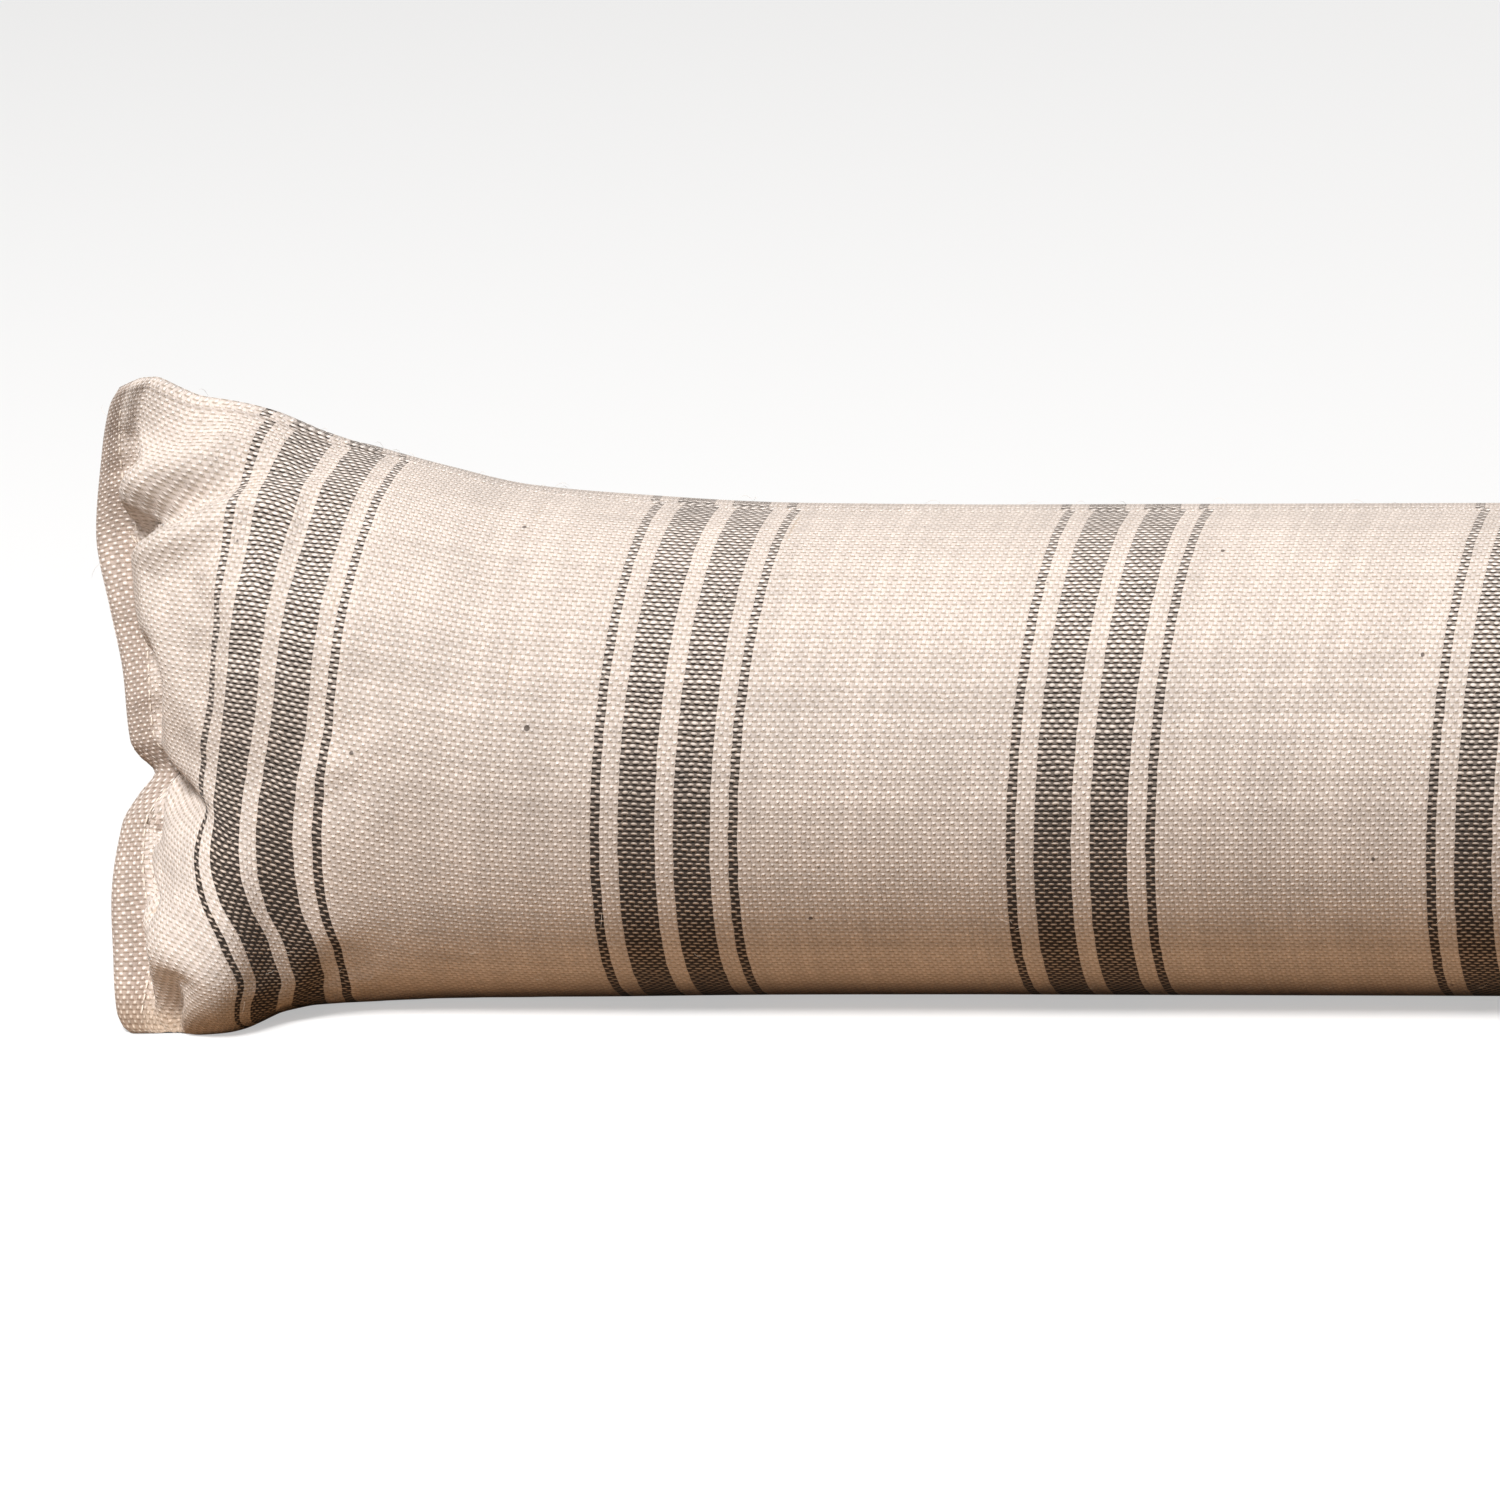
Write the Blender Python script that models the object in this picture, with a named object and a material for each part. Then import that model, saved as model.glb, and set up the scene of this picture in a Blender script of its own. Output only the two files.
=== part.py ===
"""Draught excluder: one long stuffed bolster in striped cloth, closed flat at both ends like a pillow.

Metres, +Z up. X runs along the bolster, -Y is its front, and it lies on Z = 0.
The origin is on that surface, under the middle of the bolster.
"""

from collections import namedtuple
from math import cos, exp, pi, sin

import bmesh
import bpy

# Driving sizes
MM = 0.001
LENGTH = 0.882  # from hem edge to hem edge, filled
SINK = 1.8 * MM  # how far the round underside is pressed flat
HEM_THICK = 3.0 * MM  # four layers of cloth beyond the stitching

# Fineness of the mesh
PANEL_STEPS = 28  # steps from the top of a section to its bottom, on each side
MIDDLE_STEPS = 7  # sections between the two ends

COINCIDENT = 0.001 * MM  # points this close are one, as along the two hem edges

COLLECTION = "draught_excluder"
CLOTH_COLOUR = (0.72, 0.62, 0.53, 1.0)
CLOTH_ROUGHNESS = 0.9

STITCHING = 10.5  # where the body begins, in millimetres from the hem edge

# One row for each section of an end, read from the hem edge inwards, in millimetres:
# its place, the height of its upper corner, how far its lower corner is pushed to the front,
# half its depth, and how round it is (0 is a flat pillow end, 1 is the tube)
Section = namedtuple("Section", "along top toe depth roundness")
SECTIONS = (
    Section(0.0, 160.0, 64.0, 0.0, 0.00),
    Section(1.0, 160.5, 64.0, 1.5, 0.00),
    Section(5.5, 162.0, 63.5, 1.5, 0.00),
    Section(STITCHING, 162.5, 63.0, 1.5, 0.00),
    Section(12.0, 162.2, 62.0, 6.5, 0.02),
    Section(14.5, 161.5, 61.0, 15.0, 0.05),
    Section(18.0, 160.2, 59.0, 24.0, 0.09),
    Section(23.0, 158.8, 56.0, 34.0, 0.15),
    Section(29.0, 157.0, 52.0, 41.5, 0.24),
    Section(36.0, 155.2, 46.0, 47.0, 0.36),
    Section(45.0, 152.2, 38.0, 51.5, 0.50),
    Section(56.0, 147.2, 28.0, 55.5, 0.64),
    Section(70.0, 142.8, 19.0, 58.5, 0.77),
    Section(88.0, 137.8, 12.0, 61.0, 0.88),
    Section(110.0, 133.2, 7.0, 63.0, 0.95),
    Section(140.0, 130.0, 3.5, 64.2, 1.00),
    Section(180.0, 127.7, 1.0, 64.5, 1.00),
    Section(230.0, 127.0, 0.0, 64.5, 1.00),
)

# One row for each bend of a hem from its upper corner (share 0) to its lower one (share 1),
# in millimetres: how far it is drawn in along the bolster, and how far it leans to the back
Bend = namedtuple("Bend", "share drawn_in back")
LEFT_HEM = (
    Bend(0.00, -1.5, 0.0),
    Bend(0.12, -4.5, 3.0),
    Bend(0.25, -7.0, 5.0),
    Bend(0.36, -2.0, -2.0),
    Bend(0.47, 2.5, -4.0),
    Bend(0.56, 4.0, 1.0),
    Bend(0.61, 8.0, 7.0),
    Bend(0.67, 4.0, -3.0),
    Bend(0.78, 1.5, -4.0),
    Bend(0.90, 6.0, -1.0),
    Bend(1.00, 10.0, 0.0),
)
RIGHT_HEM = (
    Bend(0.00, 1.0, 0.0),
    Bend(0.14, -3.0, -4.0),
    Bend(0.27, -1.0, 4.0),
    Bend(0.38, 5.0, 7.0),
    Bend(0.46, 3.0, -3.0),
    Bend(0.60, 1.0, -5.0),
    Bend(0.72, 5.0, 3.0),
    Bend(0.84, 0.0, -2.0),
    Bend(1.00, -2.0, 0.0),
)
HEM_REACH = 26.0  # millimetres in which the hem's bends fade out into the body

# One row for each gather that runs from the stitching into the body, in millimetres and in
# shares of the panel's depth: its side (-1 front, 1 back), where it starts and ends, its
# length, how deep it is and how wide
Gather = namedtuple("Gather", "side start end length deep wide")
LEFT_GATHERS = (
    Gather(-1, 0.26, 0.12, 34.0, 7.5, 0.045),
    Gather(-1, 0.62, 0.70, 20.0, 6.0, 0.035),
    Gather(-1, 0.77, 0.80, 22.0, 3.5, 0.040),
    Gather(-1, 0.88, 0.93, 40.0, 4.5, 0.045),
    Gather(1, 0.20, 0.14, 26.0, 5.0, 0.045),
    Gather(1, 0.45, 0.47, 30.0, 6.0, 0.050),
    Gather(1, 0.71, 0.78, 28.0, 5.5, 0.045),
)
RIGHT_GATHERS = (
    Gather(-1, 0.19, 0.11, 30.0, 5.5, 0.045),
    Gather(-1, 0.39, 0.36, 26.0, 6.5, 0.045),
    Gather(-1, 0.72, 0.80, 30.0, 6.0, 0.045),
    Gather(1, 0.30, 0.24, 32.0, 6.5, 0.050),
    Gather(1, 0.56, 0.58, 24.0, 5.0, 0.045),
    Gather(1, 0.80, 0.87, 30.0, 5.0, 0.045),
)

GATHER_PEAK = 0.6  # under 1, a gather is deepest nearer the stitching than its tip
GATHER_MOST = 0.6  # the share of the half depth that the gathers may take

# The two ends: the direction in which each one points, its hem, its gathers, and how far its
# lower corner is pushed to the front, as a share of the toe in SECTIONS
End = namedtuple("End", "points hem gathers toe_share")
LEFT_END = End(-1, LEFT_HEM, LEFT_GATHERS, 1.0)
RIGHT_END = End(1, RIGHT_HEM, RIGHT_GATHERS, 0.55)

TOE_CURVE = 2.5  # how late the lower part of a section bends forward


def eased(rows, share, column):
    """The value of one column at a share between two rows, joined by soft curves."""
    for low, high in zip(rows, rows[1:]):
        if share <= high.share:
            way = (share - low.share) / (high.share - low.share)
            soft = way * way * (3 - 2 * way)
            return getattr(low, column) * (1 - soft) + getattr(high, column) * soft
    return getattr(rows[-1], column)


def hem_hold(along):
    """How much of the hem's bends is left at a distance from the hem edge: 1 in the hem."""
    return exp(-((max(along - STITCHING, 0.0) / HEM_REACH) ** 2))


def gathered(end, side, along, share):
    """How far the gathers draw the body's surface in at a place, in millimetres."""
    total = 0.0
    for fold in end.gathers:
        way = (along - STITCHING) / fold.length
        if fold.side != side or not 0 < way < 1:
            continue
        middle = fold.start + (fold.end - fold.start) * way
        across = exp(-(((share - middle) / fold.wide) ** 2))
        total += fold.deep * sin(pi * way ** GATHER_PEAK) * across
    return total


def outline_height(section, share):
    """The height of a section's outline, from its upper corner down to the surface."""
    straight = 1 - share
    turned = (1 + cos(pi * share)) / 2
    drop = section.top + SINK / MM
    blended = (1 - section.roundness) * straight + section.roundness * turned
    return max(blended * drop - SINK / MM, 0.0)


def cloth_point(end, section, side, share):
    """One point of the cloth: side is -1 on the front and 1 on the back, share runs down."""
    hold = hem_hold(section.along)
    at_corner = share in (0.0, 1.0)
    thin = HEM_THICK / 2 / MM
    swell = max(section.depth - thin, 0.0) * sin(pi * share)
    half = 0.0 if at_corner else min(section.depth, thin) + swell
    half -= min(gathered(end, side, section.along, share), half * GATHER_MOST)
    lean = -section.toe * end.toe_share * share ** TOE_CURVE
    lean += hold * eased(end.hem, share, "back")
    along = section.along + hold * eased(end.hem, share, "drawn_in")
    return (
        end.points * (LENGTH / 2 - along * MM),
        (lean + side * half) * MM,
        outline_height(section, share) * MM,
    )


def section_ring(end, section):
    """The points round one section: down the front from the upper corner, and up the back."""
    shares = [step / PANEL_STEPS for step in range(PANEL_STEPS + 1)]
    front = [cloth_point(end, section, -1, share) for share in shares]
    back = [cloth_point(end, section, 1, share) for share in reversed(shares[1:-1])]
    return front + back


def all_rings():
    """Every section's ring, from the left hem to the right one."""
    left = [section_ring(LEFT_END, section) for section in SECTIONS]
    right = [section_ring(RIGHT_END, section) for section in reversed(SECTIONS)]
    start, end = left[-1], right[0]
    middle = []
    for step in range(1, MIDDLE_STEPS + 1):
        way = step / (MIDDLE_STEPS + 1)
        ring = [
            tuple(a + (b - a) * way for a, b in zip(first, last))
            for first, last in zip(start, end)
        ]
        middle.append(ring)
    return left + middle + right


def centred(rings):
    """The rings moved along X and Y so that the origin lies under the middle of their box."""
    points = [point for ring in rings for point in ring]
    shift = [
        (min(point[axis] for point in points) + max(point[axis] for point in points)) / 2
        for axis in (0, 1)
    ]
    return [[(x - shift[0], y - shift[1], z) for x, y, z in ring] for ring in rings]


def loft(name, rings):
    """A closed mesh through the rings, whose first and last are flattened to one edge."""
    mesh = bpy.data.meshes.new(name)
    shape = bmesh.new()
    rows = [[shape.verts.new(point) for point in ring] for ring in rings]
    around = len(rows[0])
    for row, following in zip(rows, rows[1:]):
        for i in range(around):
            j = (i + 1) % around
            shape.faces.new((row[i], row[j], following[j], following[i]))
    bmesh.ops.remove_doubles(shape, verts=shape.verts, dist=COINCIDENT)
    shape.to_mesh(mesh)
    shape.free()
    mesh.shade_smooth()
    return mesh


def cloth_material():
    """Cream cotton and linen with grey stripes, in its middle colour."""
    material = bpy.data.materials.new("striped_cloth")
    material.use_nodes = True
    shader = material.node_tree.nodes["Principled BSDF"]
    shader.inputs["Base Color"].default_value = CLOTH_COLOUR
    shader.inputs["Roughness"].default_value = CLOTH_ROUGHNESS
    shader.inputs["Metallic"].default_value = 0.0
    return material


def clear_scene():
    """An empty scene, whatever it held before."""
    for thing in list(bpy.data.objects):
        bpy.data.objects.remove(thing, do_unlink=True)


def main():
    """Builds the bolster in its own collection."""
    clear_scene()
    group = bpy.data.collections.new(COLLECTION)
    bpy.context.scene.collection.children.link(group)
    mesh = loft("bolster", centred(all_rings()))
    mesh.materials.append(cloth_material())
    bolster = bpy.data.objects.new("bolster", mesh)
    group.objects.link(bolster)


main()
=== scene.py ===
# %% [markdown]
# # A draught excluder in striped cotton and linen
#
# The real thing is one tube of stout plain-weave cloth, stuffed along its whole length and
# sewn flat across both ends, like a very long pillow. It lies against the foot of a door.
#
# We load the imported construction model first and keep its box. Everything below is worked
# out in millimetres of real cloth, and turned into metres when a mesh is made.

# %% The frame
import bpy
import math
import random
from collections import namedtuple

import numpy as np
from mathutils import Matrix, Vector


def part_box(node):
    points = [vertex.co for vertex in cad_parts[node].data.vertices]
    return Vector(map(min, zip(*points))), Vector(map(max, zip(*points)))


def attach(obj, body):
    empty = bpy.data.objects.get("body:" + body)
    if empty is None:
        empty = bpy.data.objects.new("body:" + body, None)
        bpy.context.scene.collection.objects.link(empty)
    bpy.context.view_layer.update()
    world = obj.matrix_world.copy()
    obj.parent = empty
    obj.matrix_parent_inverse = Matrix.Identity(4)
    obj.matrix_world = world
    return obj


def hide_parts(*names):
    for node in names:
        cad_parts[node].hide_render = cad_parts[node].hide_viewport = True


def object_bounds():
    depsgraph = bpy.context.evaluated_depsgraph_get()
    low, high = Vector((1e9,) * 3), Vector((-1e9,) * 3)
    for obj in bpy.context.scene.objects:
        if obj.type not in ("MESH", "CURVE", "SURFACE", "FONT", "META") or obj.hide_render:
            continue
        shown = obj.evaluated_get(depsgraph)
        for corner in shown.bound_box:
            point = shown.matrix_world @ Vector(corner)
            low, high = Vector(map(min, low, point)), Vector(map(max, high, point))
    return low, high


MM = 0.001
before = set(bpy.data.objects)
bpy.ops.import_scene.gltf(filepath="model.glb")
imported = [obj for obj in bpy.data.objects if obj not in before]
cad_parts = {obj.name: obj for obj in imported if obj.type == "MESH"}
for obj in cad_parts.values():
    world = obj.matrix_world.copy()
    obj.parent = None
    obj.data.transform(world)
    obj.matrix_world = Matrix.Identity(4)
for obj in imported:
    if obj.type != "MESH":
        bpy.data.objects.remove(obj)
cad_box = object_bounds()
print("construction box", [[round(c, 4) for c in corner] for corner in cad_box])

# %% [markdown]
# ## How long and how wide the cloth is
#
# Two kinds of thread matter. The ones that run round the tube carry the colour: some are
# charcoal, the rest cream. The ones that run along the tube are cream and lie proud, so they
# show as small pale dots. Counting dots gives the pitch of both, and so the size of the flat
# cloth before it was stuffed.

# %% Threads and flat sizes
ROUND_PITCH = 1.215  # from one thread that runs round the tube to the next
LONG_PITCH = 1.35  # from one thread that runs along it to the next
FLAT_LENGTH = 937.5  # hem edge to hem edge, laid flat
FLAT_DEPTH = 203.0  # one panel, top fold to bottom fold
FILLED_LENGTH = 882.0
HEM_WIDTH = 10.5  # the flat flange outside the stitching
threads = (FLAT_LENGTH / ROUND_PITCH, 2 * FLAT_DEPTH / LONG_PITCH)
print("threads: %.0f round the tube, %.0f along it" % threads)

# %% [markdown]
# ## The tube from end to end
#
# A stuffed tube that is sewn flat at its end passes through three shapes: a flat standing
# seam with two pointed corners, a pillow-like lens, and the round tube. One table holds
# that change, read from the hem edge inwards. A smooth monotone curve joins its rows, so
# the outline has no corners and no overshoot.
#
# "toe" is how far the lower corner is kicked to the front, where it rests on the floor.

# %% The sections of an end
SECTIONS = {  # millimetres from the hem edge: top, toe, half depth, roundness
    0.0: (161.0, 64.0, 0.0, 0.00),
    1.0: (161.5, 64.0, 1.5, 0.00),
    5.5: (163.2, 63.5, 1.9, 0.00),
    10.5: (163.6, 63.0, 0.8, 0.00),
    12.0: (163.0, 63.0, 8.0, 0.02),
    14.5: (161.8, 63.0, 17.0, 0.05),
    18.0: (160.2, 62.5, 26.5, 0.09),
    23.0: (158.4, 62.0, 36.0, 0.15),
    29.0: (157.6, 61.0, 43.5, 0.24),
    36.0: (156.4, 58.5, 49.5, 0.36),
    41.0: (155.2, 53.0, 52.0, 0.43),
    45.0: (153.8, 45.0, 53.5, 0.50),
    49.0: (152.0, 36.0, 55.0, 0.56),
    56.0: (148.8, 27.0, 57.0, 0.64),
    70.0: (144.2, 18.0, 60.0, 0.77),
    88.0: (138.8, 11.0, 62.0, 0.88),
    110.0: (133.2, 7.0, 63.5, 0.95),
    140.0: (130.0, 3.5, 64.3, 1.00),
    180.0: (127.7, 1.0, 64.5, 1.00),
    230.0: (127.0, 0.0, 64.5, 1.00),
}
HEM_HALF = 1.9  # half the thickness of the flange
SINK = 1.8  # how far the round underside is pressed flat by its own weight


def softstep(x, low, high):
    """0 below low, 1 above high, and a soft S between."""
    t = np.clip((x - low) / (high - low), 0, 1)
    return t * t * (3 - 2 * t)


def through(rows, at, column):
    """A smooth curve through one column of a table, with no overshoot between its rows."""
    x = np.array(sorted(rows))
    y = np.array([rows[key][column] for key in sorted(rows)])
    step = np.diff(x)
    rise = np.diff(y) / step
    slope = np.zeros(len(x))
    slope[0], slope[-1] = rise[0], rise[-1]
    same_way = rise[:-1] * rise[1:] > 0
    safe = np.where(rise == 0, 1.0, rise)
    slope[1:-1] = np.where(same_way, 2 / (1 / safe[:-1] + 1 / safe[1:]), 0.0)
    at = np.clip(at, x[0], x[-1])
    i = np.clip(np.searchsorted(x, at, "right") - 1, 0, len(step) - 1)
    t = (at - x[i]) / step[i]
    return (
        (1 + 2 * t) * (1 - t) ** 2 * y[i]
        + t * (1 - t) ** 2 * step[i] * slope[i]
        + t * t * (3 - 2 * t) * y[i + 1]
        + t * t * (t - 1) * step[i] * slope[i + 1]
    )


print("height at 0, 60 and 250 mm:", *(round(float(through(SECTIONS, s, 0)), 1) for s in (0, 60, 250)))

# %% [markdown]
# ## The wavy hem
#
# The seam is as long as the flat panel is deep, but the stuffed end is shorter than that,
# so the seam has to wave: it is drawn in where the stuffing pulls, and it leans to the back
# and to the front in turn. Both ends get their own table, because no two ends are alike.

# %% The two hems
LEFT_HEM = {  # share of the way down: drawn in along the tube, leaning back
    0.00: (2.0, 0.0),
    0.03: (-1.0, 0.5),
    0.12: (-4.5, 3.0),
    0.25: (-7.0, 5.0),
    0.36: (-2.0, -2.0),
    0.47: (2.5, -4.0),
    0.57: (4.0, 0.0),
    0.595: (6.0, 3.0),
    0.625: (10.0, 6.0),
    0.65: (7.0, 2.0),
    0.69: (3.6, -3.0),
    0.78: (2.2, -4.0),
    0.90: (4.2, -1.0),
    0.96: (6.2, 0.0),
    0.985: (9.0, 0.0),
    1.00: (13.0, 0.0),
}
RIGHT_HEM = {
    0.00: (1.0, 0.0),
    0.14: (-3.0, -4.0),
    0.27: (-1.0, 4.0),
    0.38: (5.0, 7.0),
    0.46: (3.0, -3.0),
    0.60: (1.0, -5.0),
    0.72: (5.0, 3.0),
    0.84: (0.0, -2.0),
    1.00: (-2.0, 0.0),
}
DRAWN_REACH, BACK_REACH = 17.0, 13.0  # how far the hem's waves run on into the stuffed part
TOE_CURVE = 2.5
FULL_TOE = 0.50, 0.97  # between these shares the lower part swings forward, where the end is full
RIGHT_TOE = 0.55  # the right end's lower corner is kicked out less


def cloth_point(along, share, side):
    """Where the cloth lies: along from the left hem edge, share down the panel, side -1 is the front."""
    left = along < FILLED_LENGTH / 2
    near = np.where(left, along, FILLED_LENGTH - along)
    top, toe, depth, roundness = (through(SECTIONS, near, column) for column in range(4))
    past_seam = np.maximum(near - HEM_WIDTH, 0)
    hold_drawn, hold_back = (np.exp(-((past_seam / reach) ** 2)) for reach in (DRAWN_REACH, BACK_REACH))
    drawn = np.where(left, through(LEFT_HEM, share, 0), -through(RIGHT_HEM, share, 0))
    back = np.where(left, through(LEFT_HEM, share, 1), through(RIGHT_HEM, share, 1))
    flat_end, tube = 1 - share, (1 + np.cos(np.pi * share)) / 2
    up = ((1 - roundness) * flat_end + roundness * tube) * (top + SINK) - SINK
    full = softstep(near, 12, 24)
    forward = (1 - full) * share ** TOE_CURVE + full * softstep(share, *FULL_TOE)
    lean = -toe * np.where(left, 1.0, RIGHT_TOE) * forward + hold_back * back
    hem_half = np.minimum(depth, HEM_HALF)
    at_fold = (share <= 0) | (share >= 1)
    half = np.where(at_fold, 0.0, hem_half) + np.maximum(depth - hem_half, 0) * np.sin(np.pi * share)
    return np.stack([along + hold_drawn * drawn, lean + side * half, up], -1)


# %% [markdown]
# ## From flat cloth to stuffed tube
#
# Every point of the mesh is a point of the flat cloth, so the stripes stay straight in the
# weave however the tube bends. Along each line from end to end we measure the stuffed
# length, compare it with the flat length, and put the surplus where a real one has it: in
# the crumples next to the two seams.
#
# The rows are close together at the ends, where the folds are, and wider in the middle.

# %% The grid of cloth points
ROUND_STEPS = 240  # quads round the tube
FINE_STEP, COARSE_STEP = 2.0, 4.5
FINE_REACH = 135.0  # flat millimetres from each hem edge that get the fine rows
CRUMPLE = 15.0  # how quickly the surplus is used up
HALF_FLAT = FLAT_LENGTH / 2
ARC_STEPS = 3529  # places where the stuffed length of a line is measured, a quarter of a millimetre apart


def row_places():
    """Flat distances of the mesh rows from the left hem edge."""
    hem = np.array([0.0, 1.2, 3.6, 6.0, 8.4])
    end = np.arange(HEM_WIDTH, FINE_REACH, FINE_STEP)
    count = int(round((HALF_FLAT - end[-1]) / COARSE_STEP))
    middle = np.linspace(end[-1], HALF_FLAT, count + 1)[1:]
    half = np.concatenate([hem, end, middle])
    return np.concatenate([half, (FLAT_LENGTH - half[:-1])[::-1]])


def filled_places(flat_rows, share, side):
    """Where the flat rows lie along the stuffed tube, on one line from end to end."""
    fine = np.linspace(0, FILLED_LENGTH, ARC_STEPS)
    points = cloth_point(fine, np.full_like(fine, share), side)
    arc = np.concatenate([[0], np.cumsum(np.linalg.norm(np.diff(points, axis=0), axis=1))])
    middle = len(fine) // 2
    surplus = HALF_FLAT - arc[middle], HALF_FLAT - (arc[-1] - arc[middle])
    from_right = arc[-1] - arc
    left = arc + surplus[0] * (1 - np.exp(-arc / CRUMPLE))
    right = FLAT_LENGTH - from_right - surplus[1] * (1 - np.exp(-from_right / CRUMPLE))
    flat = np.where(fine < fine[middle], left, right)
    return np.interp(flat_rows, flat, fine), surplus


rows = row_places()
columns = np.arange(ROUND_STEPS)
panel = ROUND_STEPS // 2
side_of = np.where(columns <= panel, -1, 1)
share_of = np.where(columns <= panel, columns / panel, 2 - columns / panel)
print("grid: %d rows of %d points" % (len(rows), ROUND_STEPS))

# %% [markdown]
# ## The twist and the bow
#
# The stripes of the real one don't stand quite upright: over the top they run a few
# millimetres towards the right, and under the belly to the left, because the panels were
# sewn together a little askew. They are bowed too, furthest left in the middle of a panel,
# as cloth often is that was stretched along both edges when it was finished. Both fade out
# at the hems, where the cloth was cut square.
#
# At the left end the folds take up more cloth in one place than in another, so there the
# stripes slip sideways as well: to the right in the upper third and beside the lowest fold,
# and to the left in between and at the bottom.

# %% The slant of the stripes
TWIST = 4.5  # millimetres along the tube, to the right at the top and to the left at the bottom
BOW = 4.8  # millimetres that the middle of a panel lags behind its edges
SLANT_FROM, SLANT_TO = 6.0, 72.0  # millimetres from a hem edge where both grow from nothing to full
SLIP_IN, SLIP_OUT = (8, 34), (38, 92)  # the slip grows over the first stretch and ends over the second
LEFT_SLIP = {  # share of the way down: millimetres to the right
    0.00: (7.0,),
    0.12: (5.0,),
    0.24: (3.0,),
    0.35: (1.0,),
    0.44: (-0.4,),
    0.53: (-2.7,),
    0.60: (-3.8,),
    0.67: (-3.0,),
    0.72: (-1.0,),
    0.78: (2.2,),
    0.84: (1.8,),
    0.90: (-1.9,),
    0.95: (-3.8,),
    1.00: (-2.6,),
}


def slant(along, share):
    """How far the cloth is shifted along the tube by the twist, the bow and the slip."""
    near = np.minimum(along, FILLED_LENGTH - along)
    shift = TWIST * np.cos(np.pi * share) + BOW * (1 - np.sin(np.pi * share))
    slip = through(LEFT_SLIP, share, 0) * softstep(along, *SLIP_IN) * (1 - softstep(along, *SLIP_OUT))
    return shift * softstep(near, SLANT_FROM, SLANT_TO) + slip


grid = np.zeros((len(rows), ROUND_STEPS, 3))
spare = []
for column in range(ROUND_STEPS):
    share, side = share_of[column], side_of[column]
    along, surplus = filled_places(rows, share, side)
    along = along + slant(along, share)
    grid[:, column] = cloth_point(along, np.full_like(along, share), side)
    spare.append(surplus)
spare = np.array(spare)
print("surplus cloth at an end: %.1f to %.1f mm" % (spare.min(), spare.max()))

# %% [markdown]
# ## Folds and puckers
#
# Three kinds of unevenness lie over that shape. The big folds run from the seam into the
# body and are listed one by one, and so are the few places where the stuffing bulges. Small
# dents sit all along the stitching, where each stitch draws the cloth in.
#
# All three move a point along the cloth's own normal. A fold is a line on the flat panel: it
# starts at a share of the seam, ends at another share some millimetres further in, and has a
# raised shoulder on both sides. A negative depth makes a ridge of it.

# %% The folds and the bulges
Fold = namedtuple("Fold", "side start end length deep wide shoulder")
LEFT_FOLDS = (
    Fold(-1, 0.27, 0.09, 54.0, 7.5, 6.0, 0.45),
    Fold(-1, 0.68, 0.71, 14.0, 2.5, 4.0, 0.30),
    Fold(-1, 0.77, 0.80, 20.0, 2.5, 6.0, 0.30),
    Fold(-1, 1.02, 0.78, 26.0, -2.5, 4.5, 0.50),
    Fold(-1, 1.03, 0.85, 34.0, 2.6, 5.0, 0.0),
    Fold(1, 0.20, 0.14, 30.0, 5.0, 8.0, 0.35),
    Fold(1, 0.45, 0.47, 34.0, 6.0, 9.0, 0.35),
    Fold(1, 0.71, 0.78, 32.0, 5.5, 8.0, 0.35),
)
RIGHT_FOLDS = (
    Fold(-1, 0.19, 0.11, 34.0, 5.5, 8.0, 0.35),
    Fold(-1, 0.39, 0.36, 30.0, 6.5, 8.0, 0.35),
    Fold(-1, 0.72, 0.80, 34.0, 6.0, 8.0, 0.35),
    Fold(1, 0.30, 0.24, 36.0, 6.5, 9.0, 0.35),
    Fold(1, 0.56, 0.58, 28.0, 5.0, 8.0, 0.35),
    Fold(1, 0.80, 0.87, 34.0, 5.0, 8.0, 0.35),
)
SHOULDER_AT = 1.7  # widths from the bottom of a fold to its shoulders
Bulge = namedtuple("Bulge", "side along share high long wide")
LEFT_BULGES = (
    Bulge(-1, 16.0, 0.17, 2.5, 12.0, 14.0),
    Bulge(-1, 20.0, 0.36, 1.5, 14.0, 22.0),
    Bulge(-1, 5.0, 0.625, 4.0, 7.0, 9.0),
    Bulge(-1, 26.0, 0.84, 2.5, 16.0, 14.0),
)
STITCH_DRAWS = 34  # small dents along the stitching of one panel at one end
print("folds: %d and %d, bulges: %d" % (len(LEFT_FOLDS), len(RIGHT_FOLDS), len(LEFT_BULGES)))


# %% How deep the cloth is drawn in
def normals_of(points):
    """The outward unit normal at each grid point."""
    along = np.gradient(points, axis=0)
    around = np.roll(points, -1, axis=1) - np.roll(points, 1, axis=1)
    normal = np.cross(around, along)
    return normal / np.maximum(np.linalg.norm(normal, axis=2, keepdims=True), 1e-9)


def fold_depth(fold, from_seam, down):
    """How far one fold draws the cloth in: from_seam and down are flat millimetres on its panel."""
    below = down - fold.start * FLAT_DEPTH
    run = np.array([fold.length, (fold.end - fold.start) * FLAT_DEPTH])
    size = np.hypot(*run)
    run = run / size
    along = from_seam * run[0] + below * run[1]
    across = -from_seam * run[1] + below * run[0]
    way = np.clip(along / size, 0, 1)
    fade = np.sin(np.pi * way**0.85) * (from_seam > 0)
    width = fold.wide * (0.7 + 0.5 * way)
    valley = np.exp(-((across / width) ** 2))
    shoulders = sum(np.exp(-((across / width + place) ** 2)) for place in (-SHOULDER_AT, SHOULDER_AT))
    return fold.deep * fade * (valley - fold.shoulder * shoulders)


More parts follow.
